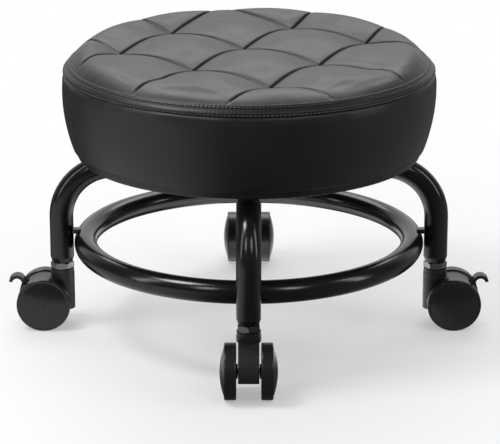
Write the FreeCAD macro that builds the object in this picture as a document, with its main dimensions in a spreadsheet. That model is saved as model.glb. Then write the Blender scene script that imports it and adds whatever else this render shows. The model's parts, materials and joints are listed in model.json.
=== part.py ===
"""Low pedicure stool: a round padded seat on a four-legged tube frame with a foot ring and casters.

Millimetres. +Z is up, the floor is z = 0 and the Z axis runs through the middle of the seat. The legs stand
on the X and Y axes; the two casters on the X axis carry brake levers.
"""
import FreeCAD, Part
import math
import os
import Sketcher

# Driving dimensions: alias, value, what it measures.
SIZES = [
    # Running gear
    ("wheel_radius", 25.0, "wheel over the tread"),
    ("tread_width", 10.6, "width of one tread"),
    ("tyre_depth", 3.0, "tyre from tread to wheel rim"),
    ("tyre_round", 1.4, "rounding of the tyre's two shoulders"),
    ("rim_wall", 2.1, "wheel rim under the tyre"),
    ("web_wall", 2.0, "wheel's outer disc at its edge"),
    ("dome_rise", 3.9, "how far the disc bulges past the tread"),
    ("boss_radius", 6.5, "wheel boss round the axle"),
    ("boss_gap", 0.3, "wheel boss to hood cheek"),
    ("wheel_gap", 1.6, "tread to hood cheek"),
    ("axle_radius", 3.0, "steel axle"),
    ("axle_end_gap", 0.4, "axle end to the floor of its bore"),
    ("running_fit", 0.05, "radial clearance of every shaft in its bore"),
    ("trail", 17.2, "stem axis to axle"),
    # Caster hood
    ("hood_width", 18.4, "hood across its cheeks"),
    ("hood_inset", 1.5, "hood arc below the tread"),
    ("hood_wall", 2.5, "hood shell"),
    ("hood_lip_angle", -7.0, "where the hood's outer arc ends, from level"),
    ("hem_drop", 8.0, "hood's lower edge at the stem, below the axle"),
    ("socket_radius", 11.0, "hood's stem socket, outside"),
    ("skirt_drop", 3.0, "where the socket reaches its full width, below the top of the wheels"),
    ("socket_rim", 0.35, "step round the top of the socket"),
    ("socket_rim_high", 4.2, "height of that step"),
    ("boss_wall", 3.2, "socket material round the stem inside the hood"),
    ("axle_boss", 5.5, "hood's boss round the axle"),
    # Stem, jam nut and snap ring
    ("thread_radius", 6.0, "stem above the socket"),
    ("stem_shoulder", 1.0, "step from the thread down to the shank in the socket"),
    ("stem_low_rise", 7.0, "axle to the stem's lower end, upwards"),
    ("thread_long", 27.5, "thread inside the leg"),
    ("bore_floor_gap", 1.0, "stem end to the floor of the socket"),
    ("snap_rise", 4.0, "stem's lower end to the snap ring"),
    ("snap_thick", 1.0, "snap ring"),
    ("snap_gap", 0.15, "snap ring to each wall of its grooves"),
    ("snap_depth", 1.0, "depth of the stem's snap groove"),
    ("snap_grip", 1.1, "how far the snap ring stands out of the shank"),
    ("snap_mouth", 4.0, "opening of the snap ring"),
    ("nut_flats", 19.0, "jam nut across its flats"),
    ("nut_high", 6.0, "jam nut"),
    ("nut_gap", 0.3, "socket top to jam nut"),
    # Brake
    ("pivot_out", 13.2, "axle to lever pivot, outwards"),
    ("pivot_up", 9.5, "axle to lever pivot, upwards"),
    ("pivot_radius", 1.5, "lever pin"),
    ("pivot_pin_long", 18.0, "lever pin"),
    ("bar_out", 5.5, "axle to brake bar, outwards"),
    ("bar_up", 14.2, "axle to brake bar, upwards"),
    ("bar_radius", 1.5, "brake bar"),
    ("bar_long", 30.0, "brake bar, reaching into both wheels"),
    ("ear_wall", 1.0, "lever round the brake bar"),
    ("hub_wall", 1.9, "lever round its pin"),
    ("lever_width", 10.8, "lever"),
    ("bill_out", 25.4, "axle to the middle of the toe tab's curve, outwards"),
    ("bill_up", 16.8, "the same, upwards"),
    ("bill_outer", 7.7, "outer radius of the toe tab's curve"),
    ("bill_thick", 3.2, "toe tab"),
    ("bill_end", 12.0, "where the toe tab ends, from level"),
    ("slot_width", 11.8, "hood slot for the lever"),
    ("slot_low", 20.0, "lower end of the slot, from level"),
    ("slot_high", 52.0, "upper end of the slot, from level"),
    ("window_out", 6.5, "axle to the middle of the brake bar's window, outwards"),
    ("window_up", 15.4, "the same, upwards"),
    ("window_radius", 3.6, "window for the brake bar in each cheek"),
    # Frame
    ("leg_radius", 174.0, "stool axis to leg axis"),
    ("tube_radius", 11.0, "leg tube, outside"),
    ("tube_wall", 1.5, "leg tube"),
    ("neck_high", 5.0, "swaged neck at the foot of the tube"),
    ("neck_drop", 1.6, "how much the neck narrows"),
    ("bend_radius", 49.0, "leg bend, to the middle of the tube"),
    ("run_up", 154.5, "floor to the level run's axis"),
    ("insert_high", 26.0, "threaded insert in the tube"),
    ("foot_rise", 12.5, "top of the wheels to the foot of the leg tube"),
    ("ring_gap", 1.0, "foot ring to each leg"),
    ("ring_up", 83.5, "floor to the foot ring's tube axis"),
    ("ring_tube", 10.5, "foot ring tube, outside"),
    ("ring_wall", 1.5, "foot ring tube"),
    ("tab_width", 8.0, "tab that joins the foot ring to a leg"),
    ("tab_high", 4.0, "the same"),
    ("tab_bite", 6.0, "how far inside the leg's face the tab starts"),
    ("hub_half", 16.0, "half the square hub where the legs meet"),
    ("hub_tube_wall", 3.0, "square hub"),
    ("plate_radius", 90.0, "seat plate"),
    ("plate_thick", 4.0, "seat plate"),
    # Fastening of the seat
    ("bolt_half", 55.0, "bolt places from each axis"),
    ("bolt_radius", 2.95, "bolt shank"),
    ("bolt_long", 15.0, "bolt shank above its washer"),
    ("head_flats", 10.0, "bolt head"),
    ("head_high", 4.0, "bolt head"),
    ("washer_radius", 7.0, "washer"),
    ("washer_thick", 1.2, "washer"),
    ("clear_hole", 3.5, "clearance holes for the bolts"),
    ("nut_barrel", 4.0, "tee nut barrel"),
    ("nut_barrel_high", 9.0, "tee nut barrel"),
    ("nut_flange", 9.0, "tee nut flange"),
    ("nut_flange_thick", 1.3, "tee nut flange"),
    # Seat
    ("board_radius", 157.5, "seat board"),
    ("board_thick", 12.0, "seat board"),
    ("board_round", 1.5, "rounding of the seat board's lower edge"),
    ("cloth_radius", 150.0, "dust cloth"),
    ("cloth_thick", 0.6, "dust cloth"),
    ("cloth_gap", 0.5, "seat plate to dust cloth"),
    ("cover_thick", 1.2, "seat covering"),
    ("hem_up", 176.0, "floor to the covering's lower edge"),
    ("belly_radius", 170.7, "widest part of the seat"),
    ("belly_up", 228.0, "floor to the widest part"),
    ("belly_curve", 200.0, "curve of the side above the belly"),
    ("low_seam_radius", 169.8, "seam under the edge band"),
    ("low_seam_up", 247.0, "the same, above the floor"),
    ("band_curve", 11.0, "curve of the edge band"),
    ("top_seam_radius", 164.6, "seam over the edge band"),
    ("top_seam_up", 254.2, "the same, above the floor"),
    ("crown_up", 269.0, "floor to the crown of the seat"),
    ("soft_gap", 0.3, "foam to covering"),
]

# Sizes that follow from the ones above: alias, formula.
DERIVED = [
    # Levels and radii that several pieces share
    ("foot_up", "2 * wheel_radius + foot_rise"),
    ("hood_hem_up", "wheel_radius - hem_drop"),
    ("socket_skirt", "2 * wheel_radius - skirt_drop"),
    ("shank_radius", "thread_radius - stem_shoulder"),
    ("stem_low", "wheel_radius + stem_low_rise"),
    ("stem_top", "foot_up + thread_long"),
    ("snap_up", "stem_low + snap_rise"),
    ("snap_root", "shank_radius - snap_depth"),
    ("snap_outer", "shank_radius + snap_grip"),
    ("ring_radius", "leg_radius - tube_radius - ring_gap - ring_tube"),
    # Wheels
    ("wheel_in", "hood_width / 2 + wheel_gap"),
    ("hub_outer", "wheel_radius - tyre_depth"),
    ("rim_inner", "hub_outer - rim_wall"),
    ("web_in", "tread_width - web_wall"),
    ("dome_top", "tread_width + dome_rise"),
    ("dome_curve", "(hub_outer * hub_outer + dome_rise * dome_rise) / (2 * dome_rise)"),
    ("boss_in", "wheel_gap - boss_gap"),
    ("wheel_bore", "axle_radius + running_fit"),
    ("bore_end", "tread_width"),
    ("axle_half", "wheel_in + bore_end - axle_end_gap"),
    ("axle_reach", "leg_radius + trail"),
    ("tread_shoulder", "wheel_radius - tyre_round"),
    ("tread_far", "tread_width - tyre_round"),
    # Hood, measured from the stem axis and the floor
    ("hood_arc", "wheel_radius - hood_inset"),
    ("hood_half", "hood_width / 2"),
    ("wall_back", "socket_radius - hood_half"),
    ("crest_up", "wheel_radius + sqrt(hood_arc ^ 2 - (trail - socket_radius) ^ 2)"),
    ("lip_out", "trail + hood_arc * cos(hood_lip_angle)"),
    ("lip_up", "wheel_radius + hood_arc * sin(hood_lip_angle)"),
    ("belly_in_out", "trail + axle_boss"),
    ("belly_in_up", "wheel_radius - axle_boss - hood_wall / 2"),
    ("wall_high", "socket_skirt - hood_hem_up"),
    ("cavity_arc", "hood_arc - hood_wall"),
    ("cavity_width", "hood_width - 2 * hood_wall"),
    ("cavity_back", "shank_radius + boss_wall"),
    ("cavity_crest", "wheel_radius + sqrt(cavity_arc ^ 2 - (trail - cavity_back) ^ 2)"),
    ("cavity_front", "trail + cavity_arc"),
    ("through_width", "hood_width + 2"),
    ("nut_under", "foot_up - nut_high"),
    ("socket_top", "nut_under - nut_gap"),
    ("rim_under", "socket_top - socket_rim_high"),
    ("rim_radius", "socket_radius - socket_rim"),
    ("stem_bore", "shank_radius + running_fit"),
    ("bore_floor", "stem_low - bore_floor_gap"),
    ("snap_under", "snap_up - snap_gap"),
    ("snap_over", "snap_up + snap_thick + snap_gap"),
    ("snap_relief", "snap_outer + snap_gap"),
    ("snap_bore", "snap_root + running_fit"),
    # Brake, measured from the stem axis and the floor
    ("pivot_x", "trail + pivot_out"),
    ("pivot_z", "wheel_radius + pivot_up"),
    ("pivot_bore", "pivot_radius + running_fit"),
    ("hub_eye", "pivot_radius + hub_wall"),
    ("hub_over", "pivot_z + hub_eye"),
    ("hub_under", "pivot_z - hub_eye"),
    ("bar_x", "trail + bar_out"),
    ("bar_z", "wheel_radius + bar_up"),
    ("bar_bore", "bar_radius + running_fit"),
    ("ear_eye", "bar_radius + ear_wall"),
    ("ear_over", "bar_z + ear_eye"),
    ("ear_under", "bar_z - ear_eye"),
    ("bill_inner", "bill_outer - bill_thick"),
    ("bill_z", "wheel_radius + bill_up"),
    ("bill_root_out", "trail + bill_out - bill_outer"),
    ("bill_root_in", "trail + bill_out - bill_inner"),
    ("tip_over_x", "trail + bill_out + bill_outer * cos(bill_end)"),
    ("tip_over_z", "bill_z + bill_outer * sin(bill_end)"),
    ("tip_under_x", "trail + bill_out + bill_inner * cos(bill_end)"),
    ("tip_under_z", "bill_z + bill_inner * sin(bill_end)"),
    ("slot_in", "cavity_arc - hood_wall"),
    ("slot_out", "hood_arc + hood_wall"),
    ("slot_a_x", "trail + slot_in * cos(slot_low)"),
    ("slot_a_z", "wheel_radius + slot_in * sin(slot_low)"),
    ("slot_b_x", "trail + slot_out * cos(slot_low)"),
    ("slot_b_z", "wheel_radius + slot_out * sin(slot_low)"),
    ("slot_c_x", "trail + slot_out * cos(slot_high)"),
    ("slot_c_z", "wheel_radius + slot_out * sin(slot_high)"),
    ("slot_d_x", "trail + slot_in * cos(slot_high)"),
    ("slot_d_z", "wheel_radius + slot_in * sin(slot_high)"),
    ("window_x", "trail + window_out"),
    ("window_z", "wheel_radius + window_up"),
    # Frame
    ("neck_top", "foot_up + neck_high"),
    ("neck_radius", "tube_radius - neck_drop"),
    ("tube_bore", "tube_radius - tube_wall"),
    ("neck_bore", "neck_radius - tube_wall"),
    ("bend_up", "run_up - bend_radius"),
    ("run_in", "leg_radius - hub_half"),
    ("insert_radius", "tube_bore - running_fit"),
    ("insert_neck", "neck_bore - running_fit"),
    ("insert_top", "foot_up + insert_high"),
    ("insert_bore", "thread_radius + running_fit"),
    ("ring_bore", "ring_tube - ring_wall"),
    ("tab_in", "leg_radius - tube_radius - tab_bite"),
    ("tab_up", "ring_up + ring_tube - tab_high"),
    ("tab_long", "tab_bite + tube_radius"),
    ("hub_under_z", "run_up - tube_radius"),
    ("plate_under", "run_up + tube_radius"),
    ("board_under", "plate_under + plate_thick"),
    ("board_top", "board_under + board_thick"),
    ("head_under", "plate_under - washer_thick - head_high"),
    ("washer_under", "plate_under - washer_thick"),
    ("tee_bore", "bolt_radius + running_fit"),
    ("tee_hole", "nut_barrel + running_fit"),
    ("tee_sink", "nut_flange + running_fit"),
    ("tee_under", "board_top - nut_flange_thick"),
    ("barrel_under", "tee_under - nut_barrel_high"),
    ("cloth_bore", "plate_radius + cloth_gap"),
    ("cloth_under", "board_under - cloth_thick"),
    # Seat
    ("hem_outer", "board_radius + cover_thick"),
    ("side_high", "belly_up - hem_up"),
    ("side_swell", "belly_radius - hem_outer"),
    ("side_curve", "(side_high * side_high + side_swell * side_swell) / (2 * side_swell)"),
    ("side_curve_in", "side_curve - cover_thick"),
    ("belly_inner", "belly_radius - cover_thick"),
    ("belly_curve_in", "belly_curve - cover_thick"),
    ("low_seam_inner", "low_seam_radius - cover_thick"),
    ("band_curve_in", "band_curve - cover_thick"),
    ("top_seam_inner", "top_seam_radius - cover_thick / 2"),
    ("top_seam_under", "top_seam_up - cover_thick"),
    ("crown_rise", "crown_up - top_seam_up"),
    ("crown_curve", "(top_seam_radius * top_seam_radius + crown_rise * crown_rise) / (2 * crown_rise)"),
    ("crown_under", "crown_up - cover_thick"),
    ("crown_curve_in", "(top_seam_inner * top_seam_inner + crown_rise * crown_rise) / (2 * crown_rise)"),
    ("foam_low", "board_radius - soft_gap"),
    ("foam_belly", "belly_inner - soft_gap"),
    ("foam_high", "belly_up - board_top"),
    ("foam_swell", "foam_belly - foam_low"),
    ("foam_curve", "(foam_high * foam_high + foam_swell * foam_swell) / (2 * foam_swell)"),
    ("foam_edge", "low_seam_inner - soft_gap"),
    ("foam_shoulder", "top_seam_inner - 2 * soft_gap"),
    ("foam_shoulder_up", "top_seam_under - soft_gap"),
    ("foam_crown", "crown_under - soft_gap"),
    ("foam_rise", "foam_crown - foam_shoulder_up"),
    ("foam_top_curve", "(foam_shoulder * foam_shoulder + foam_rise * foam_rise) / (2 * foam_rise)"),
]

# Where each leg and caster stands: the cosine and sine of its direction, and its angle.
PLACES = {
    "right": (1, 0, 0),
    "back": (0, 1, 90),
    "left": (-1, 0, 180),
    "front": (0, -1, 270),
}
BRAKED = ("right", "left")
WHEEL_SIDES = {"a": 1, "b": -1}
QUARTERS = ((1, 1), (-1, 1), (-1, -1), (1, -1))

doc = FreeCAD.newDocument("PedicureStool")
sheet = doc.addObject("Spreadsheet::Sheet", "Sizes")
pieces = []


def fill_sheet():
    """Write every driving size as a number and every derived size as a formula, one row each."""
    for row, (alias, value, note) in enumerate(SIZES, start=1):
        sheet.set(f"A{row}", note)
        sheet.set(f"B{row}", str(value))
        sheet.setAlias(f"B{row}", alias)
    doc.recompute()
    for row, (alias, formula) in enumerate(DERIVED, start=len(SIZES) + 1):
        sheet.set(f"A{row}", alias)
        sheet.set(f"B{row}", "=" + formula)
        sheet.setAlias(f"B{row}", alias)
    doc.recompute()


def number(term):
    """Value of a term: a sheet alias, an alias with a minus sign, or "0"."""
    if term == "0":
        return 0.0
    if term.startswith("-"):
        return -float(sheet.get(term[1:]))
    return float(sheet.get(term))


def bound(term):
    """The same term as an expression on the sheet."""
    if term.startswith("-"):
        return "-Sizes." + term[1:]
    return "Sizes." + term


# Sketches


def new_sketch(body, plane, lift=None):
    """A sketch on one of the body's own origin planes, raised by a sheet size along the plane's normal."""
    sketch = body.newObject("Sketcher::SketchObject", body.Label + "_sketch")
    support = [item for item in body.Origin.OriginFeatures if item.Role == plane][0]
    sketch.AttachmentSupport = (support, [""])
    sketch.MapMode = "FlatFace"
    if lift:
        sketch.setExpression("AttachmentOffset.Base.z", bound(lift))
    return sketch


def pin_point(sketch, edge, end, across, up):
    """Hold one point of the sketch at sheet sizes from the origin."""
    for kind, term, axis in (("DistanceX", across, -2), ("DistanceY", up, -1)):
        if term == "0":
            sketch.addConstraint(Sketcher.Constraint("PointOnObject", edge, end, axis))
        else:
            held = sketch.addConstraint(Sketcher.Constraint(kind, -1, 1, edge, end, number(term)))
            sketch.setExpression(f"Constraints[{held}]", bound(term))


def arc_between(start, finish, radius):
    """The short arc from start to finish, to the left of travel for a positive radius."""
    chord = finish - start
    middle = (start + finish) * 0.5
    rise = math.sqrt(max(radius * radius - chord.Length * chord.Length / 4.0, 0.0))
    left = FreeCAD.Vector(-chord.y, chord.x, 0).normalize()
    centre = middle + left * math.copysign(rise, radius)
    first, last = (start, finish) if radius > 0 else (finish, start)
    from_angle = math.atan2(first.y - centre.y, first.x - centre.x)
    to_angle = math.atan2(last.y - centre.y, last.x - centre.x)
    circle = Part.Circle(centre, FreeCAD.Vector(0, 0, 1), abs(radius))
    return Part.ArcOfCircle(circle, from_angle, to_angle)


def outline(sketch, steps, closed=True):
    """Draw a chain of edges. A step is (across, up), or (across, up, radius) when an arc leads to it.

    A plain radius turns left along the way and one with a minus sign turns right.
    """
    points = [FreeCAD.Vector(number(step[0]), number(step[1]), 0) for step in steps]
    count = len(steps) if closed else len(steps) - 1
    ends = []
    for index in range(count):
        start = points[index]
        finish = points[(index + 1) % len(points)]
        target = steps[(index + 1) % len(steps)]
        if len(target) == 3:
            radius = number(target[2])
            edge = sketch.addGeometry(arc_between(start, finish, radius), False)
            held = sketch.addConstraint(Sketcher.Constraint("Radius", edge, abs(radius)))
            sketch.setExpression(f"Constraints[{held}]", bound(target[2].lstrip("-")))
            ends.append((edge, 1, 2) if radius > 0 else (edge, 2, 1))
        else:
            edge = sketch.addGeometry(Part.LineSegment(start, finish), False)
            ends.append((edge, 1, 2))
    for index, (edge, first, last) in enumerate(ends):
        pin_point(sketch, edge, first, *steps[index][:2])
        if closed or index + 1 < count:
            following = ends[(index + 1) % count]
            sketch.addConstraint(Sketcher.Constraint("Coincident", edge, last, following[0], following[1]))
        else:
            pin_point(sketch, edge, last, *steps[index + 1][:2])


def circle(sketch, across, up, radius):
    """Draw a circle whose centre and radius are sheet sizes."""
    centre = FreeCAD.Vector(number(across), number(up), 0)
    edge = sketch.addGeometry(Part.Circle(centre, FreeCAD.Vector(0, 0, 1), number(radius)), False)
    if across == "0" and up == "0":
        sketch.addConstraint(Sketcher.Constraint("Coincident", edge, 3, -1, 1))
    else:
        pin_point(sketch, edge, 3, across, up)
    held = sketch.addConstraint(Sketcher.Constraint("Radius", edge, number(radius)))
    sketch.setExpression(f"Constraints[{held}]", bound(radius))


# Features


def new_body(label):
    """An empty body that is one piece of the stool."""
    body = doc.addObject("PartDesign::Body", label)
    body.Label = label
    pieces.append(body)
    return body


def feature(body, kind, sketch):
    """Add a feature that uses a sketch."""
    made = body.newObject("PartDesign::" + kind, body.Label + "_" + kind.lower())
    made.Profile = sketch
    sketch.Visibility = False
    return made


def turn(body, steps, kind="Revolution"):
    """Turn an outline on the XZ plane about the body's own Z axis."""
    sketch = new_sketch(body, "XZ_Plane")
    outline(sketch, steps)
    made = feature(body, kind, sketch)
    made.ReferenceAxis = (sketch, ["V_Axis"])
    made.Angle = 360
    return made


def slab(body, width, steps=None, holes=(), kind="Pad"):
    """Pad or pocket a side outline, or circles, by a width shared evenly about the XZ plane."""
    sketch = new_sketch(body, "XZ_Plane")
    if steps:
        outline(sketch, steps)
    for hole in holes:
        circle(sketch, *hole)
    made = feature(body, kind, sketch)
    made.SideType = "Symmetric"
    made.setExpression("Length", bound(width))
    return made


def disc(body, lift, thick, circles, kind="Pad"):
    """Pad or pocket circles upwards from a level."""
    sketch = new_sketch(body, "XY_Plane", lift)
    for item in circles:
        circle(sketch, *item)
    made = feature(body, kind, sketch)
    made.setExpression("Length", bound(thick))
    made.Reversed = kind == "Pocket"
    return made


def checked_cut(body, cut):
    """Run a cutting step and make sure that it removed material."""
    doc.recompute()
    before = body.Shape.Volume
    cut()
    doc.recompute()
    if body.Shape.Volume > before - 1e-3:
        raise RuntimeError(f"a cut in {body.Label} removed nothing")


def stand(item, spot, out="leg_radius", side=None, up=None, turned=None):
    """Place a piece at its leg: out along the leg's direction, side to its left, and up, all sheet sizes."""
    cosine, sine, angle = PLACES[spot]
    rotation = FreeCAD.Rotation(FreeCAD.Vector(0, 0, 1), angle)
    if turned is not None:
        rotation = rotation.multiply(FreeCAD.Rotation(FreeCAD.Vector(1, 0, 0), turned))
    item.Placement = FreeCAD.Placement(FreeCAD.Vector(0, 0, 0), rotation)
    along = f"{cosine} * {bound(out)}"
    across = f"{sine} * {bound(out)}"
    if side:
        along += f" - ({sine}) * ({bound(side)})"
        across += f" + ({cosine}) * ({bound(side)})"
    item.setExpression("Placement.Base.x", along)
    item.setExpression("Placement.Base.y", across)
    if up:
        item.setExpression("Placement.Base.z", bound(up))


# Primitives for turned fasteners and bars


def primitive(kind, name, **sizes):
    """A Part primitive whose properties follow expressions on the sheet."""
    item = doc.addObject("Part::" + kind, name)
    for name_of_size, expression in sizes.items():
        item.setExpression(name_of_size.replace("_", "."), expression)
    return item


def boolean(kind, name, base, tool):
    """A two-piece Part boolean."""
    item = doc.addObject("Part::" + kind, name)
    item.Base = base
    item.Tool = tool
    return item


def hexagon(name, flats, high):
    """A hexagonal prism with its corners chamfered at 30 degrees top and bottom."""
    corner = f"{bound(flats)} / 2 / cos(30)"
    prism = primitive("Prism", name + "_prism", Circumradius=corner, Height=bound(high))
    prism.Polygon = 6
    wide = f"{bound(flats)} * 0.49 + {bound(high)} / tan(30)"
    narrow = f"{bound(flats)} * 0.49"
    upper = primitive("Cone", name + "_upper", Radius1=wide, Radius2=narrow, Height=bound(high))
    lower = primitive("Cone", name + "_lower", Radius1=narrow, Radius2=wide, Height=bound(high))
    topped = boolean("Common", name + "_topped", prism, upper)
    return boolean("Common", name + "_hexagon", topped, lower)


def tube(name, outer, inner, high):
    """A plain ring standing on z = 0."""
    body = primitive("Cylinder", name + "_outer", Radius=bound(outer), Height=bound(high))
    bore = primitive("Cylinder", name + "_bore", Radius=bound(inner), Height=bound(high))
    return boolean("Cut", name + "_ring", body, bore)


def group(label, members):
    """One piece node that holds several identical separate solids."""
    item = doc.addObject("Part::Compound", label)
    item.Label = label
    item.Links = members
    pieces.append(item)


# Frame


def make_leg(spot):
    """Bent tube: a swaged neck at the foot, an upright, a quarter bend and a level run to the hub."""
    body = new_body("leg_" + spot)
    spine = new_sketch(body, "XZ_Plane")
    steps = [
        ("0", "neck_top"),
        ("0", "bend_up"),
        ("-bend_radius", "run_up", "bend_radius"),
        ("-run_in", "run_up"),
    ]
    outline(spine, steps, closed=False)
    ring = new_sketch(body, "XY_Plane", "neck_top")
    circle(ring, "0", "0", "tube_radius")
    circle(ring, "0", "0", "tube_bore")
    pipe = feature(body, "AdditivePipe", ring)
    pipe.Spine = (spine, ["Edge1", "Edge2", "Edge3"])
    turn(
        body,
        [
            ("neck_bore", "foot_up"),
            ("neck_radius", "foot_up"),
            ("tube_radius", "neck_top"),
            ("tube_bore", "neck_top"),
        ],
    )
    stand(body, spot)


def make_insert(spot):
    """Threaded bush held in the foot of the leg; it follows the swaged neck."""
    body = new_body("leg_insert_" + spot)
    turn(
        body,
        [
            ("insert_bore", "foot_up"),
            ("insert_neck", "foot_up"),
            ("insert_radius", "neck_top"),
            ("insert_radius", "insert_top"),
            ("insert_bore", "insert_top"),
        ],
    )
    stand(body, spot)


def make_foot_ring():
    """Closed tube ring on which the feet rest."""
    body = new_body("foot_ring")
    sketch = new_sketch(body, "XZ_Plane")
    circle(sketch, "ring_radius", "ring_up", "ring_tube")
    circle(sketch, "ring_radius", "ring_up", "ring_bore")
    made = feature(body, "Revolution", sketch)
    made.ReferenceAxis = (sketch, ["V_Axis"])
    made.Angle = 360


def make_ring_tabs():
    """Short tabs over the gap between the foot ring and each leg, cut to both tubes."""
    members = []
    for spot in PLACES:
        name = "ring_tab_" + spot
        bar = primitive(
            "Box",
            name + "_bar",
            Length=bound("tab_long"),
            Width=bound("tab_width"),
            Height=bound("tab_high"),
            Placement_Base_x=bound("tab_in"),
            Placement_Base_y="-Sizes.tab_width / 2",
            Placement_Base_z=bound("tab_up"),
        )
        leg = primitive(
            "Cylinder",
            name + "_leg",
            Radius=bound("tube_radius"),
            Height=bound("bend_up"),
            Placement_Base_x=bound("leg_radius"),
        )
        ring = primitive(
            "Torus",
            name + "_ring",
            Radius1=bound("ring_radius"),
            Radius2=bound("ring_tube"),
            Placement_Base_z=bound("ring_up"),
        )
        coped = boolean("Cut", name + "_coped", bar, leg)
        tab = boolean("Cut", name, coped, ring)
        tab.Placement.Rotation = FreeCAD.Rotation(FreeCAD.Vector(0, 0, 1), PLACES[spot][2])
        members.append(tab)
    group("ring_tabs", members)


def make_hub():
    """Upright square tube where the four level runs meet."""
    side = "2 * Sizes.hub_half"
    high = "2 * Sizes.tube_radius"
    outer = primitive(
        "Box",
        "hub_outer_block",
        Length=side,
        Width=side,
        Height=high,
        Placement_Base_x="-Sizes.hub_half",
        Placement_Base_y="-Sizes.hub_half",
        Placement_Base_z=bound("hub_under_z"),
    )
    inner_side = side + " - 2 * Sizes.hub_tube_wall"
    corner = "Sizes.hub_tube_wall - Sizes.hub_half"
    inner = primitive(
        "Box",
        "hub_inner_block",
        Length=inner_side,
        Width=inner_side,
        Height=high,
        Placement_Base_x=corner,
        Placement_Base_y=corner,
        Placement_Base_z=bound("hub_under_z"),
    )
    hub = boolean("Cut", "frame_hub", outer, inner)
    hub.Label = "frame_hub"
    pieces.append(hub)


def bolt_circles(radius):
    """The four bolt places as sketch circles of one radius."""
    terms = {1: "bolt_half", -1: "-bolt_half"}
    return [(terms[east], terms[north], radius) for east, north in QUARTERS]


def make_plate():
    """Round steel plate welded on the level runs; the seat board is bolted to it."""
    body = new_body("seat_plate")
    disc(body, "plate_under", "plate_thick", [("0", "0", "plate_radius")] + bolt_circles("clear_hole"))


# Seat


def make_board():
    """Plywood disc with four holes counterbored from above for the tee nuts."""
    body = new_body("seat_board")
    disc(body, "board_under", "board_thick", [("0", "0", "board_radius")] + bolt_circles("tee_hole"))
    sinks = bolt_circles("tee_sink")
    checked_cut(body, lambda: disc(body, "tee_under", "nut_flange_thick", sinks, "Pocket"))
    doc.recompute()
    almost_across = 2 * number("board_radius") - 1
    just_over = number("board_under") + 0.1
    rim = [
        f"Edge{index}"
        for index, edge in enumerate(body.Shape.Edges, start=1)
        if edge.BoundBox.XLength > almost_across and edge.BoundBox.ZMax < just_over
    ]
    sunk = body.Tip
    rounded = body.newObject("PartDesign::Fillet", "board_edge")
    rounded.Base = (sunk, rim)
    rounded.setExpression("Radius", bound("board_round"))


def make_dust_cloth():
    """Thin cloth under the board, round the seat plate."""
    body = new_body("dust_cloth")
    disc(body, "cloth_under", "cloth_thick", [("0", "0", "cloth_radius"), ("0", "0", "cloth_bore")])


def make_foam():
    """Foam block on the board, a little inside its covering."""
    turn(
        new_body("seat_foam"),
        [
            ("0", "board_top"),
            ("foam_low", "board_top"),
            ("foam_belly", "belly_up", "foam_curve"),
            ("foam_edge", "low_seam_up", "belly_curve"),
            ("foam_shoulder", "foam_shoulder_up"),
            ("0", "foam_crown", "foam_top_curve"),
        ],
    )


def make_covers():
    """Three sewn panels: the side, the narrow edge band and the quilted top."""
    turn(
        new_body("seat_side_cover"),
        [
            ("hem_outer", "hem_up"),
            ("belly_radius", "belly_up", "side_curve"),
            ("low_seam_radius", "low_seam_up", "belly_curve"),
            ("low_seam_inner", "low_seam_up"),
            ("belly_inner", "belly_up", "-belly_curve_in"),
            ("board_radius", "hem_up", "-side_curve_in"),
        ],
    )
    turn(
        new_body("seat_edge_band"),
        [
            ("low_seam_inner", "low_seam_up", "-band_curve_in"),
            ("low_seam_radius", "low_seam_up"),
            ("top_seam_radius", "top_seam_up", "band_curve"),
            ("top_seam_inner", "top_seam_under"),
        ],
    )
    turn(
        new_body("seat_top_cover"),
        [
            ("0", "crown_under"),
            ("top_seam_inner", "top_seam_under", "-crown_curve_in"),
            ("top_seam_radius", "top_seam_up"),
            ("0", "crown_up", "crown_curve"),
        ],
    )


def make_fastenings():
    """Tee nuts in the board, and bolts with washers from below the plate."""
    tee_nuts, bolts, washers = [], [], []
    for index, (east, north) in enumerate(QUARTERS):
        spot = {
            "Placement_Base_x": f"{east} * Sizes.bolt_half",
            "Placement_Base_y": f"{north} * Sizes.bolt_half",
        }
        barrel = primitive("Cylinder", f"tee_barrel_{index}", Radius=bound("nut_barrel"),
                           Height=bound("nut_barrel_high"))
        flange = primitive("Cylinder", f"tee_flange_{index}", Radius=bound("nut_flange"),
                           Height=bound("nut_flange_thick"), Placement_Base_z=bound("nut_barrel_high"))
        bore = primitive("Cylinder", f"tee_bore_{index}", Radius=bound("tee_bore"),
                         Height="Sizes.nut_barrel_high + Sizes.nut_flange_thick")
        solid = boolean("Fuse", f"tee_solid_{index}", barrel, flange)
        tee_nut = boolean("Cut", f"tee_nut_{index}", solid, bore)
        head = hexagon(f"bolt_head_{index}", "head_flats", "head_high")
        shank = primitive("Cylinder", f"bolt_shank_{index}", Radius=bound("bolt_radius"),
                          Height="Sizes.head_high + Sizes.washer_thick + Sizes.bolt_long")
        bolt = boolean("Fuse", f"bolt_{index}", head, shank)
        washer = tube(f"washer_{index}", "washer_radius", "tee_bore", "washer_thick")
        for item, level, members in (
            (tee_nut, "barrel_under", tee_nuts),
            (bolt, "head_under", bolts),
            (washer, "washer_under", washers),
        ):
            for path, expression in spot.items():
                item.setExpression(path.replace("_", "."), expression)
            item.setExpression("Placement.Base.z", bound(level))
            members.append(item)
    group("seat_tee_nuts", tee_nuts)
    group("seat_bolts", bolts)
    group("seat_washers", washers)


# Casters


def make_stem(spot):
    """Steel stem: a plain grooved shank in the hood and a thicker threaded end in the leg's insert."""
    body = new_body("caster_stem_" + spot)
    turn(
        body,
        [
            ("0", "stem_low"),
            ("shank_radius", "stem_low"),
            ("shank_radius", "snap_under"),
            ("snap_root", "snap_under"),
            ("snap_root", "snap_over"),
            ("shank_radius", "snap_over"),
            ("shank_radius", "nut_under"),
            ("thread_radius", "nut_under"),
            ("thread_radius", "stem_top"),
            ("0", "stem_top"),
        ],
    )
    stand(body, spot)


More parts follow.
